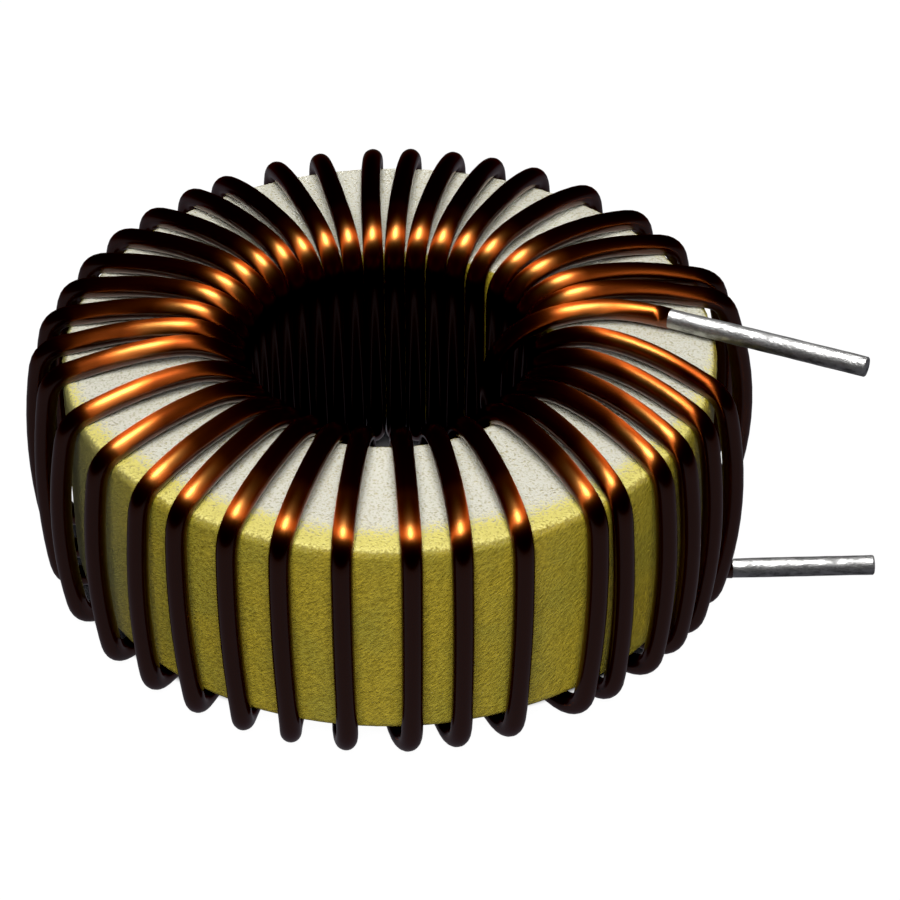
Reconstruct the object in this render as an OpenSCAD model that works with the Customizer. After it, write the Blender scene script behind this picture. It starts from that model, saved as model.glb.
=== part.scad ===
// Toroidal inductor: one thick enamelled copper wire wound in a single layer
// round a painted iron-powder ring, with both ends stripped, tinned and led
// out to the same side. The ring lies flat with its axis along Z. The origin
// is on that axis, in the plane that the underside of the winding rests on,
// and the two ends point towards +X.

/* [Core] */

// Outside diameter of the ring
core_od = 33.0; // [31:0.1:36]

// Diameter of the bore
core_id = 16.3; // [16:0.1:17.5]

// Height of the ring
core_h = 11.1; // [9:0.1:16]

// Radius of the four rounded edges
core_edge_r = 0.4; // [0.4:0.05:0.8]

// How far the white face paint reaches down the upper edge
face_paint_h = 0.3; // [0.1:0.05:0.3]

/* [Wire] */

// Diameter of the wire over its enamel
wire_d = 1.06; // [0.98:0.01:1.08]

// Diameter of the stripped ends over their solder
tinned_d = 1.04; // [0.9:0.01:1.08]

// Diameter of the stripped ends at the enamel, where the solder is thinnest
stripped_d = 1.0; // [0.9:0.01:1.08]

// Number of turns
turns = 37; // [24:1:37]

// Radius of each bend round an upper edge, along the middle of the wire
head_bend_r = 1.6; // [1.4:0.05:1.65]

// Radius of each bend round a lower edge, along the middle of the wire
foot_bend_r = 1.45; // [1.3:0.05:1.5]

/* [Winding] */

// Direction of the first turn where it crosses the rim
first_turn_az = -16.2; // [-17.5:0.1:-14]

// Angle from the first turn to the last at the rim
winding_span = 332.5; // [325:0.5:333]

// Gap between the bore and the wire
bore_clear = 0.12; // [0.12:0.01:0.3]

// Gap between the rim and the wire at its bends
rim_clear = 0.18; // [0.17:0.01:0.6]

// Gap between a face of the ring and the wire at its bends
face_clear = 0.46; // [0.45:0.01:0.8]

// Gap between touching turns inside the bore
turn_clear = 0.02; // [0.01:0.005:0.05]

// How far the middle of each upper run springs up
crown_rise = 0.2; // [0:0.01:0.4]

// How far the middle of each outer run springs out
waist_bow = 0.66; // [0:0.01:0.8]

// How far the outer runs stand out further at the left and right
side_slack = 0.36; // [0:0.01:0.6]

// How far the outer runs hang lower at the left and right
side_sag = 0.28; // [0:0.01:0.6]

// How far the last turn stands out further than that
last_slack = 0.4; // [0:0.01:0.6]

// How far the lower ends of the outer runs lean towards -Y, in degrees
foot_lean = 3; // [0:0.1:4]

// How far the first turn leans back from its place at the rim, in degrees
first_lean = 12; // [0:0.5:12]

// How far the last turn leans ahead of its place at the rim, in degrees
last_lean = 6; // [3:0.5:8]

// Number of turns over which either lean fades
lean_fade = 3; // [1:0.5:4]

/* [Upper lead] */

// Distance from the rim in to the line where the enamel is stripped
upper_strip_inset = 2.3; // [1:0.1:4]

// Direction of the strip line from the axis
upper_strip_az = 4.4; // [0:0.1:6]

// Gap between the upper face and the lead at the strip line
upper_lead_clear = 0.3; // [0.2:0.01:0.6]

// Direction in which the tinned end points
upper_lead_dir = -23.4; // [-26:0.1:-5]

// Length of the tinned end
upper_lead_l = 10.4; // [5:0.1:30]

// How far the last rise bulges into the bore
rise_bulge = 3.6; // [3:0.1:4]

/* [Lower lead] */

// Place of the strip line, from the axis towards +Y
lower_strip_y = -3.15; // [-3.4:0.05:-2.8]

// Direction in which the tinned end points
lower_lead_dir = 2; // [0:0.1:5]

// Distance from the rim out to the line where the enamel is stripped
lower_strip_reach = 1.2; // [0.8:0.1:2]

// Length of the tinned end
lower_lead_l = 7.4; // [5:0.1:30]

/* [Hidden] */

// Hand-set spacing of the turns along the rim, in degrees from one turn to
// the next. It repeats if there are more turns, and is stretched to the span.
RIM_STEPS = [
    8.5, 8, 6.5, 10, 5, 13.5, 10, 8, 11, 10, 9, 9.5,
    8, 11, 12, 13, 8, 9, 9, 8.5, 9, 8.5, 9, 7,
    10.5, 8.5, 10, 7, 8, 7.5, 8.5, 11, 12, 10, 12, 6.5
];

WIRE_SIDES = 8;    // sides of the swept wire
BEND_PARTS = 3;    // straight pieces in each bend that shows
HIDDEN_PARTS = 2;  // straight pieces in each bend at the foot of the bore
WAIST_PARTS = 4;   // straight pieces in each outer run
RISE_PARTS = 8;    // straight pieces in the last rise
LEAD_PARTS = 4;    // straight pieces from there to the strip line
LEAD_BEND_L = 1.5; // length over which the lower lead turns under the ring
LEAD_CROWN_R = 10.5; // where the last rise levels off, from the axis
LEAD_CROWN_LIFT = 0.2; // how far it stands above its height at the strip line
HEAD_SLACK = 0.4;  // share of the slack that shows at the upper bends
ROUND = 96;        // facets of round shapes on screen
SOLDER_ROOT = 0.3; // length of each tinned end that is inside the wire
THIN_SOLDER_L = 1.1; // length outside the ring over which the solder thickens

core_z = wire_d + face_clear + side_sag;     // underside of the ring
core_top = core_z + core_h;
foot_z = core_z - face_clear - wire_d / 2;   // middle of the lower runs
head_z = core_top + face_clear + wire_d / 2; // middle of the upper runs
bore_r = core_id / 2 - bore_clear - wire_d / 2;
rim_r = core_od / 2 + rim_clear + wire_d / 2;

// Angle between two wires that lie side by side in the bore
touch_az = 2 * asin((wire_d + turn_clear) / 2 / bore_r);

// ---- Where each turn sits -------------------------------------------------

function sum(list, upto) = upto == 0 ? 0 : list[upto - 1] + sum(list, upto - 1);

rim_steps = [for (i = [0 : turns - 2]) RIM_STEPS[i % len(RIM_STEPS)]];
rim_scale = winding_span / sum(rim_steps, turns - 1);

// Direction of each turn at the rim. The winding runs clockwise from above.
rim_az = [for (i = [0 : turns - 1]) first_turn_az - rim_scale * sum(rim_steps, i)];

// Direction of the lower end of each outer run
foot_az = [for (a = rim_az) a - foot_lean * cos(a)];

// Where each turn would sit in the bore with all the room that it wants
wish_az = [
    for (i = [0 : turns - 1])
        rim_az[i] + first_lean * exp(-i / lean_fade)
            + last_lean * exp(-(turns - 1 - i) / lean_fade)
];

// The turns are too thick for that, so each is pushed on by the one before it
// or back by the one after it. The mean of both keeps every turn clear.
function pushed_on(i) =
    i == 0 ? [wish_az[0]]
           : let (before = pushed_on(i - 1))
             concat(before, min(wish_az[i], before[i - 1] - touch_az));

function pushed_back(i) =
    i == turns - 1 ? [wish_az[i]]
                   : let (after = pushed_back(i + 1))
                     concat(max(wish_az[i], after[0] + touch_az), after);

on_az = pushed_on(turns - 1);
back_az = pushed_back(0);
turn_bore_az = (on_az + back_az) / 2;

// The wire goes up the bore once more after its last turn
bore_az = concat(turn_bore_az, turn_bore_az[turns - 1] - touch_az);

// ---- The run of the wire --------------------------------------------------

function mix(a, b, t) = a + (b - a) * t;
function polar(r, az, z) = [r * cos(az), r * sin(az), z];
function unit(v) = v / norm(v);

// Points [r, z] round one bend, about its middle
function bend(bend_r, r, z, from, to, parts = BEND_PARTS) = [
    for (i = [0 : parts])
        let (a = mix(from, to, i / parts))
        [r + bend_r * cos(a), z + bend_r * sin(a)]
];

head_bend_z = head_z - head_bend_r;
foot_bend_z = foot_z + foot_bend_r;
bore_foot = bend(foot_bend_r, bore_r + foot_bend_r, foot_bend_z, 270, 180, HIDDEN_PARTS);
bore_head = bend(head_bend_r, bore_r + head_bend_r, head_bend_z, 180, 90);
crown = [[(bore_r + rim_r) / 2, head_z + crown_rise]];
rim_head = bend(head_bend_r, rim_r - head_bend_r, head_bend_z, 90, 0);
rim_foot = bend(foot_bend_r, rim_r - foot_bend_r, foot_bend_z, 0, -90);

// Stands [r, z] points up in space on a line from the bore to the rim
function placed(points, bore_side, rim_side, shift = [0, 0]) = [
    for (p = points)
        let (t = min(1, (p[0] - bore_r) / (rim_r - bore_r)))
        polar(p[0] + shift[0], mix(bore_side, rim_side, t), p[1] + shift[1])
];

// The winding is slack at the left and right and tight at front and back
function sideness(i) = cos(rim_az[i])^4;
function slack(i) = side_slack * sideness(i) + (i == turns - 1 ? last_slack : 0);
function sag(i) = side_sag * sideness(i);

// Outer run of one turn, between its two bends
function waist_points(i) = [
    for (k = [1 : WAIST_PARTS - 1])
        let (
            t = k / WAIST_PARTS,
            bow = waist_bow * 4 * t * (1 - t),
            r = rim_r + bow + slack(i) * mix(HEAD_SLACK, 1, t)
        )
        polar(r, mix(rim_az[i], foot_az[i], t), mix(head_bend_z, foot_bend_z - sag(i), t))
];

function turn_points(i) = concat(
    placed(bore_foot, bore_az[i], i == 0 ? lower_lead_az : foot_az[i - 1]),
    placed(concat(bore_head, crown), bore_az[i], rim_az[i]),
    placed(rim_head, bore_az[i], rim_az[i], [HEAD_SLACK * slack(i), 0]),
    waist_points(i),
    placed(rim_foot, bore_az[i + 1], foot_az[i], [slack(i), -sag(i)])
);

// Points on a cubic curve, without its first one
function curve(a, b, c, d, parts) = [
    for (i = [1 : parts])
        let (t = i / parts, s = 1 - t)
        s^3 * a + 3 * s^2 * t * b + 3 * s * t^2 * c + t^3 * d
];

// Lower lead: in from the strip line, under the ring, to the first rise
lower_strip = [core_od / 2 + lower_strip_reach, lower_strip_y, foot_z];
lower_lead_az = atan2(lower_strip[1], lower_strip[0]);
lower_lead_along = polar(1, lower_lead_dir, 0);
first_foot = placed(bore_foot, bore_az[0], lower_lead_az)[0];
first_in = lower_strip - LEAD_BEND_L * lower_lead_along;

// Upper lead: up the bore after the last turn, then out over the upper face
rise_az = bore_az[turns];
rise_foot = polar(bore_r, rise_az, foot_z + foot_bend_r);
rise_in = polar(bore_r - rise_bulge, rise_az, mix(foot_z, head_z, 0.6));
lead_z = core_top + upper_lead_clear + wire_d / 2;
lead_crown_z = lead_z + LEAD_CROWN_LIFT;
rise_over = polar(bore_r - rise_bulge, rise_az, lead_crown_z);
lead_crown = polar(LEAD_CROWN_R, rise_az, lead_crown_z);
upper_strip = polar(core_od / 2 - upper_strip_inset, upper_strip_az, lead_z);
upper_lead_along = polar(1, upper_lead_dir, 0);
lead_reach = norm(upper_strip - lead_crown) / 3;
lead_level = polar(1, rise_az, 0);
upper_thin_l = min(upper_strip_inset + THIN_SOLDER_L, 0.6 * upper_lead_l);

last_rise = concat(
    placed(bore_foot, rise_az, foot_az[turns - 1]),
    curve(rise_foot, rise_in, rise_over, lead_crown, RISE_PARTS),
    curve(lead_crown, lead_crown + lead_reach * lead_level,
        upper_strip - lead_reach * upper_lead_along, upper_strip, LEAD_PARTS)
);

wire_path = concat(
    [lower_strip],
    curve(lower_strip, first_in, first_in, mix(lower_strip, first_foot, 0.3), LEAD_PARTS),
    [for (i = [0 : turns - 1]) each turn_points(i)],
    last_rise
);

// ---- Sweeping the wire ----------------------------------------------------

// Direction of a path at one of its points
function heading(path, i) =
    unit(path[min(i + 1, len(path) - 1)] - path[max(i - 1, 0)]);

// One ring of points square to the path, with a side turned round the axis
function ring_at(p, along, r) =
    let (
        sideways = [-p[1], p[0], 0],
        across = unit(sideways - (sideways * along) * along),
        up = cross(along, across)
    )
    [
        for (k = [0 : WIRE_SIDES - 1])
            let (a = 360 * k / WIRE_SIDES)
            p + r * (cos(a) * across + sin(a) * up)
    ];

// A wire of the given diameter along a path, with the stated end directions
module swept_wire(path, d, start_along, end_along) {
    last = len(path) - 1;
    points = [
        for (i = [0 : last])
            let (along = i == 0 ? start_along : i == last ? end_along : heading(path, i))
            each ring_at(path[i], along, d / 2)
    ];
    sides = [
        for (i = [0 : last - 1], k = [0 : WIRE_SIDES - 1])
            let (
                here = i * WIRE_SIDES,
                next = here + WIRE_SIDES,
                beside = (k + 1) % WIRE_SIDES
            )
            each [
                [here + k, next + beside, here + beside],
                [here + k, next + k, next + beside]
            ]
    ];
    start_cap = [for (k = [0 : WIRE_SIDES - 1]) k];
    end_cap = [for (k = [WIRE_SIDES - 1 : -1 : 0]) last * WIRE_SIDES + k];
    polyhedron(points, concat(sides, [start_cap, end_cap]));
}

// A straight tinned end, from its strip line outwards in the level plane. Its
// solder thickens over the given length, and is even from there to the tip.
module tinned_end(at, dir, l, thin_l) {
    translate(at)
        rotate([0, 90, dir])
            rotate_extrude($fn = ROUND)
                polygon([
                    [0, -SOLDER_ROOT],
                    [stripped_d / 2, -SOLDER_ROOT],
                    [tinned_d / 2, thin_l],
                    [tinned_d / 2, l],
                    [0, l]
                ]);
}

// ---- Nodes ----------------------------------------------------------------

// Section of the ring: a rectangle with four rounded corners
module ring_section() {
    wall = (core_od - core_id) / 2;
    translate([core_id / 2, core_z]) {
        translate([core_edge_r, 0])
            square([wall - 2 * core_edge_r, core_h]);
        translate([0, core_edge_r])
            square([wall, core_h - 2 * core_edge_r]);
        for (x = [core_edge_r, wall - core_edge_r], y = [core_edge_r, core_h - core_edge_r])
            translate([x, y])
                circle(r = core_edge_r, $fn = ROUND);
    }
}

// The part of the section between two heights
module section_band(low, high) {
    intersection() {
        ring_section();
        translate([0, low])
            square([core_od, high - low]);
    }
}

// Pressed iron-powder ring, yellow with one white face
module toroid_core() {
    paint_z = core_top - face_paint_h;
    color("goldenrod")
        rotate_extrude($fn = 2 * ROUND)
            section_band(core_z, paint_z);
    color("ivory")
        rotate_extrude($fn = 2 * ROUND)
            section_band(paint_z, core_top);
}

// The whole wire: enamelled turns and both tinned ends
module winding() {
    color("saddlebrown")
        swept_wire(wire_path, wire_d, -lower_lead_along, upper_lead_along);
    color("silver") {
        tinned_end(upper_strip, upper_lead_dir, upper_lead_l, upper_thin_l);
        tinned_end(lower_strip, lower_lead_dir, lower_lead_l, THIN_SOLDER_L);
    }
}

toroid_core();
winding();
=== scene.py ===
# %% [markdown]
# # A toroidal inductor
# A toroidal inductor is one thick enamelled copper wire wound round a painted
# ring of pressed iron powder. Both ends of the wire are stripped, dipped in
# solder and led out to the same side. This lesson dresses the plain CAD part:
# it stays inside the same box, and adds the fine form and the finishes.
#
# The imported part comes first, because everything else is measured from it.
# Blender works in metres, so sizes in millimetres are multiplied by MM.

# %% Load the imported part
import math

import bpy
import numpy as np
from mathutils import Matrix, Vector, noise


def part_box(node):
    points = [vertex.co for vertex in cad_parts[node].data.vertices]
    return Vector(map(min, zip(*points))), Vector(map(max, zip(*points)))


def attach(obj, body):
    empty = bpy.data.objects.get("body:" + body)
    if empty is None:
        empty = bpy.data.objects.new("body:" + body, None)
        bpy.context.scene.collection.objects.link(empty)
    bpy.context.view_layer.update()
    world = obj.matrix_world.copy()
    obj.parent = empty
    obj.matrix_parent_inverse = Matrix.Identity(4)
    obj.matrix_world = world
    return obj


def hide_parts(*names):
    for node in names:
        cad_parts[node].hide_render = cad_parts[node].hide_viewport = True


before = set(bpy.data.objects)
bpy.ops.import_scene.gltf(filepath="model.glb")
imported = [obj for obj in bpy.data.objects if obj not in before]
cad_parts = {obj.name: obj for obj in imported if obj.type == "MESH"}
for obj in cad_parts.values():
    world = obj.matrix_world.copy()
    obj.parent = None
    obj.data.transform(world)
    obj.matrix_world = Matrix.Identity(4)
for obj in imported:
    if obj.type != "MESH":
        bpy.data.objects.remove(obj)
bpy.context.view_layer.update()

MM = 0.001

# %% [markdown]
# ## The camera
# The ring is seen from above, through a narrow field of view, so that its
# ellipse stays true from front to back. A camera can be aimed with a
# constraint, or turned once by hand: to_track_quat gives the turn that points
# the camera's -Z axis at a target, with nothing left to update later.

# %% Set up the camera
FIELD_OF_VIEW = math.radians(16.067)
CAMERA_AT = Vector((3.04, -129.99, 107.76)) * MM
LOOK_AT = Vector((3.04, 0.0, 6.14)) * MM
NEAREST_SEEN = 0.01

scene = bpy.context.scene
camera = bpy.data.objects.new("camera", bpy.data.cameras.new("camera"))
scene.collection.objects.link(camera)
camera.data.angle = FIELD_OF_VIEW
camera.data.clip_start = NEAREST_SEEN
camera.location = CAMERA_AT
camera.rotation_euler = (LOOK_AT - CAMERA_AT).to_track_quat("-Z", "Y").to_euler()
scene.camera = camera
print("camera is", round((LOOK_AT - CAMERA_AT).length / MM), "mm away")

# %% [markdown]
# ## Writing shader sums in Python
# Node trees get long when each Math node is added by hand. Here a socket is
# wrapped in a small class, so that `1 - mask` or `x * x` adds the nodes it
# needs. All other nodes come from one method, which sets a node's own
# settings first and then its sockets, by a value or by a link.

# %% A socket that can be used in sums, and a node tree that it lives in
class Value:
    """One output of a node, which can be used like a number."""

    def __init__(self, graph, socket):
        self.graph, self.socket = graph, socket

    def sum_of(self, operation, a, b):
        return self.graph.add("Math", {"operation": operation}, {0: a, 1: b})

    def __add__(self, other):
        return self.sum_of("ADD", self, other)

    def __sub__(self, other):
        return self.sum_of("SUBTRACT", self, other)

    def __rsub__(self, other):
        return self.sum_of("SUBTRACT", other, self)

    def __mul__(self, other):
        return self.sum_of("MULTIPLY", self, other)

    def __pow__(self, other):
        return self.sum_of("POWER", self, other)

    __radd__, __rmul__ = __add__, __mul__


class Graph:
    """The node tree of a material or of the world, emptied first."""

    def __init__(self, owner):
        owner.use_nodes = True
        self.tree = owner.node_tree
        self.tree.nodes.clear()

    def add(self, kind, settings=None, sockets=None, out=0):
        """A new node of one kind. What comes back is its output number out."""
        node = self.tree.nodes.new("ShaderNode" + kind)
        for name, setting in (settings or {}).items():
            setattr(node, name, setting)
        for key, given in (sockets or {}).items():
            if isinstance(given, Value):
                self.tree.links.new(given.socket, node.inputs[key])
            else:
                node.inputs[key].default_value = given
        return Value(self, node.outputs[out]) if node.outputs else None

    def step(self, value, low, high):
        """0 below low, 1 above high, and a smooth rise between them."""
        return self.add(
            "MapRange",
            {"interpolation_type": "SMOOTHSTEP"},
            {"Value": value, "From Min": low, "From Max": high},
        )

    def colour(self, share, a, b):
        """Colour a, turning into colour b as share goes from 0 to 1."""
        return self.add("Mix", {"data_type": "RGBA"}, {0: share, 6: a, 7: b}, out=2)

    def grain(self, at, size, detail=2.0, roughness=0.5):
        """Noise from 0 to 1 whose lumps are about size units across."""
        return self.add(
            "TexNoise",
            None,
            {"Vector": at, "Scale": 1 / size, "Detail": detail, "Roughness": roughness},
        )

    def stretched(self, at, x, y, z):
        """A place with its three parts multiplied by x, y and z."""
        return self.add("VectorMath", {"operation": "MULTIPLY"}, {0: at, 1: (x, y, z)})


def new_material(name):
    """A material, its node tree, and each point's place on the part in mm."""
    material = bpy.data.materials.new(name)
    graph = Graph(material)
    place = graph.add("TexCoord", out=3)  # the Object output, in metres
    in_mm = graph.stretched(place, 1 / MM, 1 / MM, 1 / MM)
    return material, graph, in_mm


# %% [markdown]
# ## The floor
# The part stands on a plain floor that stays white right up to its feet. Lamps
# strong enough for that would wash out the dark wire, so the floor glows by
# itself. Light Path tells the camera's rays from all others: the floor looks
# white, and yet throws only a soft light on the ring from below. Under the part
# its glow gives way to a dark oval, a painted shadow where little light gets
# in. Glossy rays skip the floor, because the mirror image of so bright a floor
# would turn the upright runs of wire red.

# %% Make the floor
FLOOR_R = 3.0
FLOOR_SEEN = (0.97, 0.97, 0.97, 1)
FLOOR_GLOW = (0.42, 0.43, 0.46, 1)
FLOOR_PAINT = (0.03, 0.03, 0.03, 1)
# painted shadow: the near-black glow of the floor under the part
PAINTED_SHADOW_UNDER = (0.004, 0.004, 0.005, 1)
DARK_WITHIN, LIGHT_BEYOND = 14.7, 15.2  # the dark oval under the part, in mm
DARK_MIDDLE_Y, DARK_SQUASH = 1, 0.74
DISC_CORNERS = 96


def flat_disc(name, r, z, material):
    """A round card that lies flat on the table."""
    turned = [2 * math.pi * k / DISC_CORNERS for k in range(DISC_CORNERS)]
    rim = [(r * math.cos(a), r * math.sin(a), z) for a in turned]
    mesh = bpy.data.meshes.new(name)
    mesh.from_pydata(rim, [], [range(DISC_CORNERS)])
    mesh.materials.append(material)
    disc = bpy.data.objects.new(name, mesh)
    scene.collection.objects.link(disc)
    print(name, "is", round(2 * r / MM, 1), "mm across")
    return disc


floor_card, card, at = new_material("floor_card")
x, y = (card.add("SeparateXYZ", None, {0: at}, out=k) for k in range(2))
past_middle = y - DARK_MIDDLE_Y
out_from_middle = (x * x * DARK_SQUASH + past_middle * past_middle) ** 0.5
# 0 inside the painted shadow under the part, 1 on the open floor beyond it
beyond_painted_shadow = card.step(out_from_middle, DARK_WITHIN, LIGHT_BEYOND)
seen_by_camera = card.add("LightPath", out=0)
glow = card.colour(seen_by_camera, FLOOR_GLOW, FLOOR_SEEN)
surface = card.add(
    "BsdfPrincipled",
    None,
    {
        "Base Color": FLOOR_PAINT,
        "Roughness": 1.0,
        "Specular IOR Level": 0.0,
        "Emission Color": card.colour(beyond_painted_shadow, PAINTED_SHADOW_UNDER, glow),
        "Emission Strength": 1.0,
    },
)
card.add("OutputMaterial", None, {"Surface": surface})
floor = flat_disc("floor", FLOOR_R, 0.0, floor_card)
floor.visible_glossy = False

# %% [markdown]
# ## The lamps
# Each lamp has one task. The glint lamp hangs straight overhead and shows only
# in glossy surfaces: it draws the bright spot on every turn, where the wire
# starts to bend down. The soft lamp stands in front and lights only the paint,
# so that its shadows fall behind the wires. The back lamp does the same, low
# down, for the far side of the ring. One setting for each lamp divides the
# work like this, which no real studio could do.

# %% Hang the lamps
def hang(name, at, half_angle, power):
    """A round lamp that faces the part. Its size is set by the angle it fills."""
    lamp = bpy.data.objects.new(name, bpy.data.lights.new(name, "AREA"))
    scene.collection.objects.link(lamp)
    at = Vector(at)
    lamp.data.shape = "DISK"
    lamp.data.size = 2 * at.length * math.tan(math.radians(half_angle))
    lamp.data.energy = power
    lamp.location = at
    lamp.rotation_euler = (-at).to_track_quat("-Z", "Y").to_euler()
    print(name, "is", round(lamp.data.size / MM), "mm across")
    return lamp


glint_lamp = hang("glint_lamp", at=(0, 0, 0.42), half_angle=9, power=4.2)
glint_lamp.visible_diffuse = False
soft_lamp = hang("soft_lamp", at=(0, -0.26, 0.33), half_angle=13, power=4.8)
soft_lamp.visible_glossy = False
back_lamp = hang("back_lamp", at=(0, 0.42, 0.05), half_angle=13, power=3.4)
back_lamp.visible_glossy = False

# %% [markdown]
# ## The room
# Lacquered wire shows what is round it. Here that is a dark room whose lower
# half is a little lighter, which gives the sides of each wire a soft, dim
# sheen. The camera sees plain white behind the part instead. A black level
# takes the last haze out of the shadows.

# %% Set the room
ROOM_ABOVE = (0.014, 0.015, 0.018, 1)
ROOM_BELOW = (0.150, 0.150, 0.170, 1)
BACKDROP = (1, 1, 1, 1)
HORIZON_BLUR = 0.05
BLACK_LEVEL = 0.001

scene.world = bpy.data.worlds.new("studio")
room = Graph(scene.world)
height = room.add("SeparateXYZ", None, {0: room.add("TexCoord", out=0)}, out=2)
upper_half = room.step(height, -HORIZON_BLUR, HORIZON_BLUR)
dim_room = room.colour(upper_half, ROOM_BELOW, ROOM_ABOVE)
seen_by_camera = room.add("LightPath", out=0)
sky = room.add("Background", None, {"Color": room.colour(seen_by_camera, dim_room, BACKDROP)})
room.add("OutputWorld", None, {"Surface": sky})

scene.view_settings.view_transform = "Standard"
scene.view_settings.use_curve_mapping = True
scene.view_settings.curve_mapping.black_level = (BLACK_LEVEL,) * 3
scene.view_settings.curve_mapping.update()
print("the room has", len(room.tree.nodes), "nodes")

# %% [markdown]
# ## A black card as painted shade in the bore
# Between the lowest runs of wire one looks through the bore to the table. A
# card of black paper lies there, a tenth of a millimetre up. It is painted
# shade, which keeps the bore as dark as a deep hole looks. It neither shades
# the floor nor takes light from the paint.

# %% Lay the card
CARD_R, CARD_Z = 0.0072, 0.0001
BLACK = (0, 0, 0, 1)

bore_shade_paper = bpy.data.materials.new("bore_shade_paper")
card = Graph(bore_shade_paper)
surface = card.add("BsdfPrincipled", None, {"Base Color": BLACK, "Specular IOR Level": 0.0})
card.add("OutputMaterial", None, {"Surface": surface})
# painted shade: a black card that the camera and the wire's reflections see, but that casts no
# shadow
bore_shade_card = flat_disc("bore_shade_card", CARD_R, CARD_Z, bore_shade_paper)
bore_shade_card.visible_diffuse = False
bore_shade_card.visible_shadow = False

# %% [markdown]
# ## The ring
# The core is iron powder pressed to a ring with rounded edges, and painted. A
# lathe tool or a Screw modifier could turn its profile, but here each point
# must also know which way is out, so the section is walked once round and
# kept as points with directions.

# %% Walk round the ring's section
ring_low, ring_high = (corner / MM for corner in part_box("toroid_core"))
RING_R = ring_high.x
BORE_R = 8.15
EDGE_R = 0.4
RING_FOOT, RING_TOP = ring_low.z, ring_high.z


def corner(r, z, start, parts):
    """Points round one edge, each with the direction that faces out there."""
    angles = [math.radians(start - 90 * k / parts) for k in range(parts + 1)]
    out = [(math.cos(a), math.sin(a)) for a in angles]
    return [(r + EDGE_R * c, z + EDGE_R * s, c, s) for c, s in out]


def straight(start, end, parts):
    """Points between two others, leaving both out."""
    steps = np.subtract(end, start)
    return [tuple(np.add(start, steps * k / parts)) for k in range(1, parts)]


top_out = corner(RING_R - EDGE_R, RING_TOP - EDGE_R, start=90, parts=8)
foot_out = corner(RING_R - EDGE_R, RING_FOOT + EDGE_R, start=0, parts=5)
foot_in = corner(BORE_R + EDGE_R, RING_FOOT + EDGE_R, start=-90, parts=3)
top_in = corner(BORE_R + EDGE_R, RING_TOP - EDGE_R, start=180, parts=4)
section = (
    top_in + straight(top_in[-1], top_out[0], parts=38)
    + top_out + straight(top_out[-1], foot_out[0], parts=58)
    + foot_out + straight(foot_out[-1], foot_in[0], parts=8)
    + foot_in + straight(foot_in[-1], top_in[0], parts=14)
)
print(len(section), "points in the section")

# %% [markdown]
# ## The skin of the paint
# The paint is thick and crawled a little as it dried, so the sides look like
# leather. The section is turned into 600 places, and each of its points is
# pushed out or in by a small relief. Noise that is sheared with the height
# makes wrinkles that run up to the right, deepest near the top edge. On the
# flat faces only a faint orange peel is left.

# %% Turn the section and raise the relief
RING_PLACES = 600
WRINKLE_SLANT = -0.045  # turn of the wrinkles for each mm of height, in radians
WRINKLE_SQUASH = 0.75
WRINKLE_DEPTH, WRINKLES_PER_MM = 0.035, 3.2
PEEL_DEPTH, PEELS_PER_MM = 0.010, 3.1
LOW_DOWN_SHARE, FADE_H = 0.35, 3.0  # the wrinkles get shallower below the top
FACE_PEEL_SHARE = 0.4


def ring_relief(az, r, z, level):
    """How far the paint stands proud of the pressed ring, in mm."""
    turned = az + WRINKLE_SLANT * z
    place = Vector((r * math.cos(turned), r * math.sin(turned), WRINKLE_SQUASH * z))
    wrinkle = noise.fractal(place * WRINKLES_PER_MM, 1.0, 2.0, 3)
    peel = noise.noise(place * PEELS_PER_MM)
    near_top = LOW_DOWN_SHARE + (1 - LOW_DOWN_SHARE) * math.exp(-(RING_TOP - z) / FADE_H)
    peel_share = FACE_PEEL_SHARE + (1 - FACE_PEEL_SHARE) * (1 - level)
    return (1 - level) * near_top * WRINKLE_DEPTH * wrinkle + PEEL_DEPTH * peel * peel_share


ring_points, ring_faces = [], []
for place in range(RING_PLACES):
    az = 2 * math.pi * place / RING_PLACES
    for r, z, out_r, out_z in section:
        lift = ring_relief(az, r, z, out_z ** 2)
        r_at, z_at = r + out_r * lift, z + out_z * lift
        ring_points.append((r_at * math.cos(az) * MM, r_at * math.sin(az) * MM, z_at * MM))

around = len(section)
for place in range(RING_PLACES):
    here, there = place * around, (place + 1) % RING_PLACES * around
    for k in range(around):
        beside = (k + 1) % around
        ring_faces.append((here + k, here + beside, there + beside, there + k))
print(len(ring_points), "points on the ring")


# %% [markdown]
# ## A piece that rides on the part
# Each visible piece is a mesh of points and faces with one material. The frame
# also has to know which body the piece rides on, and which of the part's
# finishes it wears. One helper does all of that, for every piece.

# %% A helper that makes each piece
def new_piece(name, points, faces, material):
    """A smooth-shaded piece made of points and faces, riding on the part."""
    mesh = bpy.data.meshes.new(name)
    mesh.from_pydata(points, [], faces)
    mesh.polygons.foreach_set("use_smooth", [True] * len(mesh.polygons))
    mesh.materials.append(material)
    mesh.update()
    piece = bpy.data.objects.new(name, mesh)
    scene.collection.objects.link(piece)
    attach(piece, "root")
    print(name, "has", sum(len(f) - 2 for f in faces), "triangles")
    return piece
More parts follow.
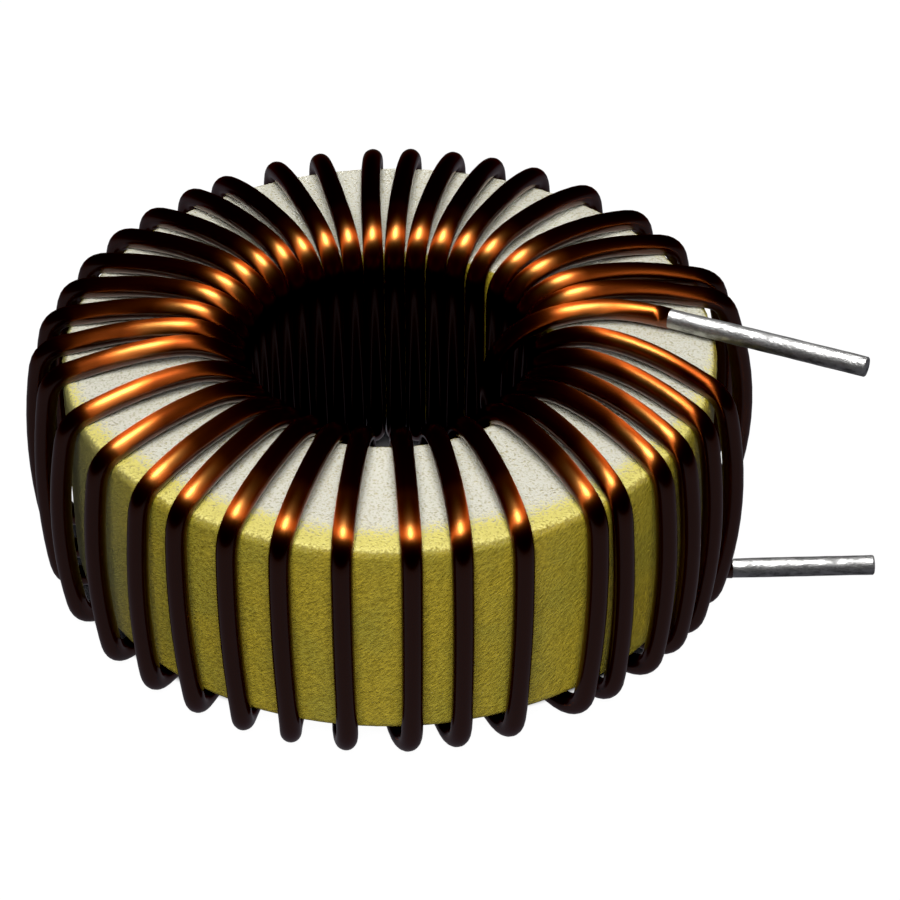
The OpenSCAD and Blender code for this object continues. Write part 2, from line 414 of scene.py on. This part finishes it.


# %% [markdown]
# ## The ring's paint
# Two paints meet on the ring. The sides are a dull yellow, and the upper face
# was sprayed white, with a dust of yellow that thickens towards the rim. The
# masks come from each point's own place on the ring: its radius and height.
# A fine noise is compared with the thickness of the dust, so that it breaks
# into separate specks instead of fading evenly. Some shade is painted in too:
# the sides are darker in the valleys of the wrinkles and in small pits, and
# greyer towards the left end, where less light falls on them. The white face
# gets a faint painted shade in the pits.

# %% Mix the ring's paint
WHITE_PAINT = (0.335, 0.328, 0.280, 1)
YELLOW_PAINT = (0.200, 0.152, 0.0125, 1)
OLIVE_PAINT = (0.165, 0.138, 0.0150, 1)
WRINKLE_VALLEY_SHADE = (0.095, 0.070, 0.0040, 1)
PIT_SHADE = (0.055, 0.040, 0.004, 1)
LEFT_END_SHADE = (0.080, 0.085, 0.040, 1)
DUST_COLOUR = (0.36, 0.315, 0.075, 1)
FACE_PAINT_H = 0.04
WRINKLE_SIZE, PATCH_SIZE, SPECK_SIZE, PIT_SIZE = 0.17, 4.0, 0.13, 0.30  # in mm
SHADE_FROM_X, SHADE_TO_X = -10.5, -15.0      # the sides turn greyer at one end
BACK_FROM_Y, BACK_TO_Y = -13.0, 3.0        # less dust fell towards the back
DUST_FROM_R, DUST_TO_R = 13.0, 16.7        # and more of it near the rim
BACK_SHIFT, UNEVEN = 1.9, 1.2
EDGE_BLUR, RAGGED = 0.06, 0.2              # where the two paints meet, in mm
BUMP_DEPTH = 0.00012

ring_paint, paint, at = new_material("ring_paint")
x, y, z = (paint.add("SeparateXYZ", None, {0: at}, out=k) for k in range(3))
radius = (x * x + y * y) ** 0.5
slanted = paint.add(
    "VectorRotate", {"rotation_type": "Z_AXIS"}, {"Vector": at, "Angle": z * WRINKLE_SLANT}
)
squashed = paint.stretched(slanted, 1, 1, WRINKLE_SQUASH)
wrinkles = paint.grain(squashed, WRINKLE_SIZE, detail=4.0, roughness=0.70)
patches = paint.grain(at, PATCH_SIZE, detail=3.0, roughness=0.6)
specks = paint.grain(at, SPECK_SIZE, detail=1.0)
pits = paint.step(paint.grain(at, PIT_SIZE, detail=2.0, roughness=0.6), 0.70, 0.76)

sides = paint.colour(paint.step(patches, 0.38, 0.66), YELLOW_PAINT, OLIVE_PAINT)
# painted shade in the valleys of the wrinkles, where their noise is low
sides = paint.colour(paint.step(wrinkles, 0.62, 0.30) * 0.85, sides, WRINKLE_VALLEY_SHADE)
# painted shade in small pits
sides = paint.colour(pits * 0.6, sides, PIT_SHADE)
# painted shade: the sides turn greyer and darker towards the left end
left_end_shade = paint.step(x, SHADE_FROM_X, SHADE_TO_X)
sides = paint.colour(left_end_shade * 0.6, sides, LEFT_END_SHADE)

at_back = paint.step(y, BACK_FROM_Y, BACK_TO_Y)
dust_place = radius + (patches - 0.5) * UNEVEN - at_back * BACK_SHIFT
dust = paint.step(dust_place, DUST_FROM_R, DUST_TO_R)
dusted = paint.step(dust * 1.15 + (specks - 0.5) * 1.2, 0.36, 0.80)
top_face = paint.colour(dusted, WHITE_PAINT, DUST_COLOUR)
# faint painted shade in small pits on the white face
top_face = paint.colour(pits * 0.12, top_face, PIT_SHADE)

face_edge = RING_TOP - FACE_PAINT_H
ragged_z = z + (specks - 0.5) * RAGGED
is_side = paint.step(ragged_z, face_edge + EDGE_BLUR, face_edge - EDGE_BLUR)
ring_colour = paint.colour(is_side, top_face, sides)
relief = wrinkles * (is_side * 0.8 + 0.2) + specks * 0.25
bumped = paint.add("Bump", None, {"Strength": 1.0, "Distance": BUMP_DEPTH, "Height": relief})
finish = paint.add(
    "BsdfPrincipled",
    None,
    {"Base Color": ring_colour, "Roughness": 0.55, "Specular IOR Level": 0.35, "Normal": bumped},
)
paint.add("OutputMaterial", None, {"Surface": finish})
print("the paint has", len(paint.tree.nodes), "nodes")

painted_ring = new_piece("painted_ring", ring_points, ring_faces, ring_paint)
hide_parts("toroid_core")

# %% [markdown]
# ## Where the wire runs
# The wire is the heart of the part: one path, 37 times round the section. In
# the bore the turns touch, so each has its place to a hair. At the rim they
# have room, and a winder's hand spaces them unevenly. The same few rules as in
# the CAD part place each turn here, with many more points on every bend. Each
# turn has a wish for its place in the bore, and is pushed on or back until no
# two of them share the same room. The average of both ways spreads the shove.

# %% Place the turns
WIRE_R = 0.53
FIRST_AZ = -16.2
RIM_STEPS = [
    8.5, 8, 6.5, 10, 5, 13.5, 10, 8, 11, 10, 9, 9.5,
    8, 11, 12, 13, 8, 9, 9, 8.5, 9, 8.5, 9, 7,
    10.5, 8.5, 10, 7, 8, 7.5, 8.5, 11, 12, 10, 12, 6.5,
]
TURNS = len(RIM_STEPS) + 1
WAIST, SIDE_WAIST = 0.25, 0.28     # how far the outer runs bow out halfway down
LEAN = 0.22                        # how far the top runs at the sides lean back
LEAN_FROM_R, LEAN_REACH = 8.9, 6.9
SLACK, LAST_SLACK, SAG = 0.36, 0.4, 0.28  # how loosely the turns hang at the sides
HEAD_SLACK = 0.4                   # the share of the slack at the upper bend
HEAD_OUT = {0: 0.15, 16: 0.0, 17: 0.35, 18: 0.2, 35: 0.42, 36: 0.22}
WAIST_OUT = {0: 0.15, 16: -0.15, 17: 0.1, 35: 0.40, 36: 0.40}
FOOT_SHIFT = {2: 1.5, 3: 1.0, 4: 1.3, 7: 0.4, 13: -1.8, 14: -1.4, 15: -2.0}
BORE_SHIFT = np.array(
    [2.3] * 8 + [-0.6] + [-2.2] + [-1.2] * 15 + [1.2] * 2 + [3.1] * 3 + [1.5] * 7
)
BORE_SIDE_R = 7.5                  # middle of the wire in the bore
RIM_SIDE_R = 17.21                 # and outside the rim
FOOT_Z, HEAD_Z = 0.81, 13.89
HEAD_BEND, FOOT_BEND = 1.4, 1.45
SHOULDER_DROP, SIDE_DROP = 0.36, 0.11
BACK_OUT, FRONT_IN = 0.18, 0.10
CROWN_R, CROWN_Z = 10.43, 14.085   # where the top runs are highest
ARCH_BEND, ARCH_SLOPE = 4.0, 36    # the wide bend that leads up to the crown
SIDE_FALL, END_FALL = 11, 20       # slope of the top runs at the outer bend
FOOT_LAG = 3.0                     # degrees that a foot trails its head by
START_PUSH, END_PUSH, PUSHED_TURNS = 12, 6, 3  # the leads crowd the turns there
GAP = 0.02
TOUCH = math.degrees(2 * math.asin((2 * WIRE_R + GAP) / 2 / BORE_SIDE_R))

rim_az = FIRST_AZ - np.concatenate([[0], np.cumsum(RIM_STEPS)])
foot_shifts = [FOOT_SHIFT.get(k, 0) for k in range(TURNS)]
foot_az = rim_az - FOOT_LAG * np.cos(np.radians(rim_az)) + foot_shifts
order = np.arange(TURNS)
start_crowd = START_PUSH * np.exp(-order / PUSHED_TURNS)
end_crowd = END_PUSH * np.exp(-(TURNS - 1 - order) / PUSHED_TURNS)
wish = rim_az + BORE_SHIFT + start_crowd + end_crowd
pushed_on, pushed_back = wish.copy(), wish.copy()
for k in range(1, TURNS):
    pushed_on[k] = min(wish[k], pushed_on[k - 1] - TOUCH)
for k in range(TURNS - 2, -1, -1):
    pushed_back[k] = max(wish[k], pushed_back[k + 1] + TOUCH)
bore_az = (pushed_on + pushed_back) / 2
bore_az = np.append(bore_az, bore_az[-1] - TOUCH)
print("turns:", TURNS, "and", round(TOUCH, 2), "degrees between them in the bore")

# %% [markdown]
# ## The bends
# A curve object could hold this path, with a handle at every bend. Worked out
# as numbers, a turn is five short runs: up the bore and round to its crown,
# over the face, round the outer edge, down the side, and in under the ring.
# The crown stands highest near the bore, and each top run falls towards the
# rim, most at the front and the back, where the wire was pulled tightest.

# %% Helpers for points, bends and curves
def polar(r, az, z):
    """A place from its distance out, its direction in degrees and its height."""
    return np.stack([r * np.cos(np.radians(az)), r * np.sin(np.radians(az)), z + 0 * r], -1)


def bend(bend_r, r, z, start, end, parts=6):
    """Points (r, z) round one bend, about its middle."""
    a = np.radians(np.linspace(start, end, parts + 1))
    return np.stack([r + bend_r * np.cos(a), z + bend_r * np.sin(a)], -1)


def stood_up(points, bore_side, rim_side, out=0.0, up=0.0):
    """Stands (r, z) points up on a line from the bore to the rim."""
    r, z = points[:, 0], points[:, 1]
    t = np.minimum(1, (r - BORE_SIDE_R) / (RIM_SIDE_R - BORE_SIDE_R))
    return polar(r + out, bore_side + (rim_side - bore_side) * t, z + up)


def cubic(a, b, c, d, parts):
    """Points on a curve from a to d that b and c pull on. It leaves a out."""
    t = np.linspace(0, 1, parts + 1)[1:, None]
    s = 1 - t
    return s**3 * a + 3 * s * s * t * b + 3 * s * t * t * c + t**3 * d


# %% Bend one turn after the other
FACE_PARTS, WAIST_PARTS = 14, 12
LOWER_STRIP = np.array([17.7, -3.15, FOOT_Z])
LOWER_DIR, UPPER_DIR = 2.0, -23.4
lower_lead_az = math.degrees(math.atan2(LOWER_STRIP[1], LOWER_STRIP[0]))

shoulder_z, foot_bend_z = HEAD_Z - SHOULDER_DROP, FOOT_Z + FOOT_BEND
bore_foot = bend(FOOT_BEND, BORE_SIDE_R + FOOT_BEND, foot_bend_z, 270, 180)
wide = bend(ARCH_BEND, CROWN_R, CROWN_Z - ARCH_BEND, 90 + ARCH_SLOPE, 90)
narrow_z = wide[0, 1] - HEAD_BEND * math.cos(math.radians(ARCH_SLOPE))
narrow = bend(HEAD_BEND, BORE_SIDE_R + HEAD_BEND, narrow_z, 180, 90 + ARCH_SLOPE)
narrow[:, 0] += wide[0, 0] - narrow[-1, 0]
bore_head = np.concatenate([narrow[:-1], wide])
rim_foot = bend(FOOT_BEND, RIM_SIDE_R - FOOT_BEND, foot_bend_z, 0, -90)


def turn(k):
    """The runs of turn k, from the foot of the bore to the foot of the rim."""
    sideness = math.cos(math.radians(rim_az[k])) ** 4
    slack = SLACK * sideness + (LAST_SLACK if k == TURNS - 1 else 0)
    sag = SAG * sideness
    back = math.sin(math.radians(rim_az[k]))
    head_r = RIM_SIDE_R + back * (BACK_OUT if back > 0 else FRONT_IN) + HEAD_OUT.get(k, 0)
    head_z = shoulder_z - SIDE_DROP * (1 - back * back)
    fall = SIDE_FALL + (END_FALL - SIDE_FALL) * back * back
    rim_head = bend(HEAD_BEND, head_r - HEAD_BEND, head_z - HEAD_BEND, 90 - fall, 0)
    third = (rim_head[0, 0] - CROWN_R) / 3
    over_face = cubic(
        bore_head[-1], bore_head[-1] + [third, 0],
        rim_head[0] + [-third, third * math.tan(math.radians(fall))], rim_head[0],
        FACE_PARTS,
    )
    bow = WAIST + SIDE_WAIST * sideness - (head_r - RIM_SIDE_R) / 2 + WAIST_OUT.get(k, 0)
    flat = np.concatenate([bore_head, over_face[:-1]])
    over = stood_up(flat, bore_az[k], rim_az[k])
    share = np.clip((flat[:, 0] - LEAN_FROM_R) / LEAN_REACH, 0, 1)
    over[:, 1] += LEAN * 4 * share * (1 - share) * (1 - back * back)
    t = np.linspace(0, 1, WAIST_PARTS + 1)[1:-1]
    loose = slack * (HEAD_SLACK + (1 - HEAD_SLACK) * t)
    waist = polar(
        head_r + (RIM_SIDE_R - head_r) * t + bow * 4 * t * (1 - t) + loose,
        rim_az[k] + (foot_az[k] - rim_az[k]) * t,
        head_z - HEAD_BEND + (foot_bend_z - sag - head_z + HEAD_BEND) * t,
    )
    return [
        stood_up(bore_foot, bore_az[k], lower_lead_az if k == 0 else foot_az[k - 1]),
        over,
        stood_up(rim_head, bore_az[k], rim_az[k], out=HEAD_SLACK * slack),
        waist,
        stood_up(rim_foot, bore_az[k + 1], foot_az[k], out=slack, up=-sag),
    ]


print(sum(len(run) for run in turn(0)), "points on the first turn")

# %% [markdown]
# ## The two leads
# The lower lead comes in under the ring and goes up the bore as the first
# turn. The last turn rises freely inside the bore, swings out over the face
# above its neighbours, and runs off the ring. Both are single smooth curves,
# set by where they start, where they end, and the way that they point there.

# %% Add the two leads
along_lower, along_upper = polar(1, LOWER_DIR, 0), polar(1, UPPER_DIR, 0)
first_foot = stood_up(bore_foot, bore_az[0], lower_lead_az)[0]
STRAIGHT_IN, SHARE_IN = 1.5, 0.3
first_in = LOWER_STRIP - STRAIGHT_IN * along_lower
lead_in_end = LOWER_STRIP + SHARE_IN * (first_foot - LOWER_STRIP)
lead_in = cubic(LOWER_STRIP, first_in, first_in, lead_in_end, parts=8)

rise_az = bore_az[-1]
LEAD_Z = 13.73
LEAD_CROWN_Z, LEAD_CROWN_R = 13.93, 10.5
RISE_BULGE, BULGE_SHARE = 3.6, 0.6
UPPER_STRIP = polar(14.2, 4.4, LEAD_Z)
rise = cubic(
    polar(BORE_SIDE_R, rise_az, foot_bend_z),
    polar(BORE_SIDE_R - RISE_BULGE, rise_az, FOOT_Z + BULGE_SHARE * (HEAD_Z - FOOT_Z)),
    polar(BORE_SIDE_R - RISE_BULGE, rise_az, LEAD_CROWN_Z),
    polar(LEAD_CROWN_R, rise_az, LEAD_CROWN_Z),
    parts=24,
)
reach = np.linalg.norm(UPPER_STRIP - rise[-1]) / 3
lead_out = cubic(
    rise[-1],
    rise[-1] + reach * polar(1, rise_az, 0),
    UPPER_STRIP - reach * along_upper,
    UPPER_STRIP,
    parts=12,
)
runs = [LOWER_STRIP[None], lead_in]
for k in range(TURNS):
    runs += turn(k)
runs += [stood_up(bore_foot, rise_az, foot_az[-1]), rise, lead_out]
route = np.concatenate(runs)
print(len(route), "points on the route")

# %% [markdown]
# ## Softening the route
# A bent wire has no corners: each bend eases into the next straight run. The
# route is cut into even steps of a tenth of a millimetre and blurred along its
# length, which does that everywhere at once. Points are then picked again,
# close together where the wire bends and far apart where it is straight, so
# the mesh stays light.
#
# The blur has a price, because it draws every bend inwards a little. The wire
# here sinks 0.06 mm into the ring's edge in the bore, and up to 0.14 mm at the
# rim, where the bends are pulled tight. That is too little to be seen, but a
# real wire would lie on the paint.

# %% Soften the route and pick its points
FINE_STEP = 0.1
EASE = 0.40       # reach of the blur along the wire
BLUR_STEPS = 20   # how far to each side it is worked out
RINGS = 2300
STRAIGHT_NEED, BEND_NEED = 0.55, 2.6  # how densely the rings stand
SAME_PLACE = 1e-6


def along_route(points):
    """How far along the route each point lies."""
    return np.concatenate([[0], np.cumsum(np.linalg.norm(np.diff(points, axis=0), axis=1))])


keep = np.concatenate([[True], np.linalg.norm(np.diff(route, axis=0), axis=1) > SAME_PLACE])
route = route[keep]
place = along_route(route)
even = np.linspace(0, place[-1], int(place[-1] / FINE_STEP))
fine = np.stack([np.interp(even, place, route[:, k]) for k in range(3)], -1)
window = np.exp(-0.5 * (np.arange(-BLUR_STEPS, BLUR_STEPS + 1) * FINE_STEP / EASE) ** 2)
window /= window.sum()
before = 2 * fine[0] - fine[BLUR_STEPS:0:-1]
after = 2 * fine[-1] - fine[-2:-2 - BLUR_STEPS:-1]
ends = np.concatenate([before, fine, after])
soft = np.stack([np.convolve(ends[:, k], window, "valid") for k in range(3)], -1)

place = along_route(soft)
heading = np.gradient(soft, place, axis=0)
bending = np.linalg.norm(np.gradient(heading, place, axis=0), axis=1)
density = STRAIGHT_NEED + BEND_NEED * np.minimum(bending, 1.0)[1:]
need = np.concatenate([[0], np.cumsum(np.diff(place) * density)])
picked = np.interp(np.linspace(0, need[-1], RINGS), need, place)
wire_path = np.stack([np.interp(picked, place, soft[:, k]) for k in range(3)], -1)
print("wire is", round(place[-1]), "mm long")

# %% [markdown]
# ## Sweeping the wire
# A curve with a bevel could sweep a round wire, but a mesh sweep lets each
# ring of points carry its place along the wire and round it. The enamel's
# streaks follow the wire because of that.

# %% Sweep a tube along a path
def tube(path, radii, sides, start_heading=None, end_heading=None):
    """Rings of points square to a path. Also gives the place of each point."""
    heads = np.gradient(path, along_route(path), axis=0)
    if start_heading is not None:
        heads[0] = start_heading
    if end_heading is not None:
        heads[-1] = end_heading
    heads /= np.linalg.norm(heads, axis=1)[:, None]
    side = np.stack([-path[:, 1], path[:, 0], 0 * path[:, 0]], -1)
    side -= (side * heads).sum(1)[:, None] * heads
    side /= np.linalg.norm(side, axis=1)[:, None]
    up = np.cross(heads, side)
    turned = np.linspace(0, 2 * np.pi, sides, endpoint=False)
    c, s = np.cos(turned)[None, :, None], np.sin(turned)[None, :, None]
    radii = np.broadcast_to(radii, (len(path), sides))[:, :, None]
    rings = path[:, None] + radii * (c * side[:, None] + s * up[:, None])
    run = np.broadcast_to(along_route(path)[:, None, None], (len(path), sides, 1))
    spot = np.concatenate([run, radii * c, radii * s], -1)
    return rings, spot


def tube_faces(rings, sides):
    """Faces between the rings of a tube, and one face on each end."""
    faces = []
    for i in range(rings - 1):
        here, there = i * sides, (i + 1) * sides
        for k in range(sides):
            beside = (k + 1) % sides
            faces.append((here + k, here + beside, there + beside, there + k))
    faces.append(tuple(range(sides - 1, -1, -1)))
    faces.append(tuple((rings - 1) * sides + k for k in range(sides)))
    return faces


def new_tube(name, rings, spot, material):
    """A tube as a piece, with the place along it kept for its shader."""
    count, sides = rings.shape[:2]
    piece = new_piece(
        name, (rings.reshape(-1, 3) * MM).tolist(), tube_faces(count, sides), material
    )
    run = piece.data.attributes.new("wire_run", "FLOAT_VECTOR", "POINT")
    run.data.foreach_set("vector", spot.reshape(-1).astype(np.float32))
    return piece


# %% [markdown]
# ## The enamel
# The wire is copper under a dark red-brown lacquer. One metal can't show both
# of its lights, so two are mixed in equal parts. Drawing leaves fine lines
# along a wire, so both metals are anisotropic: light spreads round it, and
# hardly along it. The deep one is rough, and gives a wide dark red band. The
# bright one is smoother, and gives an orange glint. The sides have a clear
# coat, which catches the dim room.
#
# A wide band along the whole wire would look painted on. So a highlight is
# painted into the wire's colour: it is lighter only round the upper bends,
# where the lamp overhead is seen, and on the last stretch before the upper
# tinned end, and darker elsewhere, most of all low down. These places are set
# for a view from the front. They stay put from other sides, as a change of
# colour does.

# %% Mix the enamel
DEEP_RED = (0.170, 0.026, 0.003, 1)
DARK_RED = (0.085, 0.018, 0.003, 1)
COPPER = (0.345, 0.160, 0.036, 1)
RED_COPPER = (0.250, 0.062, 0.010, 1)
EDGE_RED = (0.045, 0.006, 0.001, 1)
EDGE_TINT = (0.50, 0.35, 0.30, 1)
WIRE_SIDES = 24
# where the painted highlight lies: near the bore at the back, near the rim at the front
BACK_GLINT_R, GLINT_R_SHIFT = 8.9, 6.4  # the bright bends, from the back to the front
BACK_SINE, FRONT_SINE = 0.40, -0.65
# painted shade below the first height; the painted highlight shows only above the second
DARK_BELOW_Z, GLINT_ABOVE_Z = 6.0, 11.0
PAINTED_DARK_SHARE = 0.9
# painted highlight along the last stretch before the upper tinned end
LIT_END_LENGTH, DARK_FROM_END = 2.5, 5.0  # the last stretch before the tinned end
RIPPLE_DEPTH = 0.000004

enamel, lacquer, at = new_material("copper_enamel")
run = lacquer.add("Attribute", {"attribute_name": "wire_run"}, out=1)
streaks = lacquer.grain(lacquer.stretched(run, 0.06, 1, 1), size=0.22, detail=2.0)
specks = lacquer.grain(at, size=0.10, detail=1.0)
skin = streaks + specks * 0.35
ripple = lacquer.add("Bump", None, {"Strength": 0.4, "Distance": RIPPLE_DEPTH, "Height": skin})
seen_aslant = lacquer.add("LayerWeight", None, {"Blend": 0.5}, out=1)
x, y, z = (lacquer.add("SeparateXYZ", None, {0: at}, out=k) for k in range(3))
radius = (x * x + y * y) ** 0.5
sine = y * radius ** -1
# painted highlight: the wire's colour is lightest where the lamp's glint falls
painted_glint_r = lacquer.step(sine, BACK_SINE, FRONT_SINE) * GLINT_R_SHIFT + BACK_GLINT_R
off_painted_glint = (radius - painted_glint_r) * (radius - painted_glint_r)
outside_painted_glint = lacquer.step(off_painted_glint, 0.4, 4.2)
high_up = lacquer.step(z, DARK_BELOW_Z, GLINT_ABOVE_Z)
outside_painted_glint = (1 - (1 - outside_painted_glint) * high_up) * PAINTED_DARK_SHARE
wire_length = float(along_route(wire_path)[-1])
from_start = lacquer.add("SeparateXYZ", None, {0: run}, out=0)
outside_painted_glint = outside_painted_glint * lacquer.step(
    from_start, wire_length - LIT_END_LENGTH, wire_length - DARK_FROM_END
)
# the painted highlight's colours: golden at its middle, redder round it, dark red beyond
copper = lacquer.colour(lacquer.step(seen_aslant, 0.0, 0.36), COPPER, EDGE_RED)
copper = lacquer.colour(lacquer.step(off_painted_glint, 0.1, 2.2) * 0.85, copper, RED_COPPER)
copper = lacquer.colour(outside_painted_glint, copper, EDGE_RED)
red = lacquer.colour(outside_painted_glint, DEEP_RED, DARK_RED)
facing = lacquer.add("TexCoord", out=1)  # the Normal output
faces_up = lacquer.step(lacquer.add("SeparateXYZ", None, {0: facing}, out=2), 0.15, 0.60)
shared = {
    "Metallic": 1.0,
    "Specular Tint": EDGE_TINT,
    "Coat Weight": (1 - faces_up) * 0.8,
    "Coat Roughness": 0.15,
    "Normal": ripple,
}
deep = lacquer.add(
    "BsdfPrincipled",
    None,
    {"Base Color": red, "Roughness": streaks * 0.08 + 0.42, "Anisotropic": 1.0, **shared},
)
bright = lacquer.add(
    "BsdfPrincipled",
    None,
    {"Base Color": copper, "Roughness": streaks * 0.08 + 0.29, "Anisotropic": 0.85, **shared},
)
finish = lacquer.add("MixShader", None, {0: 0.5, 1: deep, 2: bright})
lacquer.add("OutputMaterial", None, {"Surface": finish})
print("the enamel has", len(lacquer.tree.nodes), "nodes")

rings, spot = tube(wire_path, WIRE_R, WIRE_SIDES, along_lower * -1, along_upper)
wound_wire = new_tube("wound_wire", rings, spot, enamel)
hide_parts("winding")

# %% [markdown]
# ## The tinned ends
# Both ends were stripped and dipped in solder. Solder never lies evenly: it
# leaves shallow lumps and a dull skin with brighter patches. Two noises that
# are stretched along the wire mix a bright and a dull tin.

# %% Mix the solder
DENT_DEPTH = 0.00004
BRIGHT_TIN = (0.42, 0.416, 0.41, 1)
DULL_TIN = (0.13, 0.129, 0.126, 1)

tin, solder, at = new_material("solder_tin")
run = solder.add("Attribute", {"attribute_name": "wire_run"}, out=1)
drawn_out = solder.stretched(run, 0.45, 1, 1)
skin = solder.grain(drawn_out, size=0.30, detail=3.0, roughness=0.6)
stains = solder.grain(solder.stretched(run, 0.7, 1, 1), size=0.8, detail=2.0)
fine_pits = solder.grain(at, size=0.10, detail=2.0)
dullness = solder.step(skin, 0.40, 0.68)
metal = solder.colour(dullness * 0.8, BRIGHT_TIN, DULL_TIN)
metal = solder.colour(solder.step(stains, 0.55, 0.75) * 0.4, metal, DULL_TIN)
dented = skin + fine_pits * 0.6
dents = solder.add("Bump", None, {"Strength": 0.8, "Distance": DENT_DEPTH, "Height": dented})
finish = solder.add(
    "BsdfPrincipled",
    None,
    {"Base Color": metal, "Metallic": 1.0, "Roughness": dullness * 0.2 + 0.42, "Normal": dents},
)
solder.add("OutputMaterial", None, {"Surface": finish})
print("the solder has", len(solder.tree.nodes), "nodes")

# %% [markdown]
# ## The shape of the tinned ends
# The ends are swept like the wire, but each point's radius is varied a little,
# so that the solder looks lumpy. It thickens over a first stretch, as on the
# CAD part, starts just inside the wire, and ends in a flat tip with a narrow
# bevel, as a cutter leaves it. A tip face shaded flat keeps that edge crisp.

# %% Shape the tinned ends
TINNED_R, STRIPPED_R = 0.52, 0.50
INSIDE_WIRE = 0.3
TIP_BEVEL = 0.05
TIN_SIDES, TIN_PARTS = 40, 90
LUMP = 0.012
LUMPS_ALONG, LUMPS_ROUND = 1.1, 1.3


def lump(s, a, start):
    """How lumpy the solder is at a distance s along the end and an angle a."""
    spot = Vector((LUMPS_ALONG * s, LUMPS_ROUND * math.cos(a), LUMPS_ROUND * math.sin(a)))
    return noise.noise(spot + Vector(start))


def tinned_end(name, start, along, length, thin_length):
    """A straight end from its strip line outwards, lumpy and cut off square."""
    even = np.linspace(0, length - TIP_BEVEL, TIN_PARTS)
    t = np.concatenate([[-INSIDE_WIRE], even, [length]])
    path = start + t[:, None] * along
    r = np.interp(t, [0, thin_length], [STRIPPED_R, TINNED_R])
    turned = np.linspace(0, 2 * np.pi, TIN_SIDES, endpoint=False)
    lumps = np.array([[lump(s, a, start) for a in turned] for s in t])
    radii = r[:, None] + LUMP * (lumps - 0.5)
    radii[-1] -= TIP_BEVEL
    rings, spot = tube(path, radii, TIN_SIDES)
    piece = new_tube(name, rings, spot, tin)
    piece.data.polygons[len(piece.data.polygons) - 1].use_smooth = False
    return piece


UPPER_LENGTH, UPPER_THIN = 10.4, 3.4
LOWER_LENGTH, LOWER_THIN = 7.4, 1.1

upper_tinned_end = tinned_end(
    "upper_tinned_end", UPPER_STRIP, along_upper, UPPER_LENGTH, UPPER_THIN
)
lower_tinned_end = tinned_end(
    "lower_tinned_end", LOWER_STRIP, along_lower, LOWER_LENGTH, LOWER_THIN
)
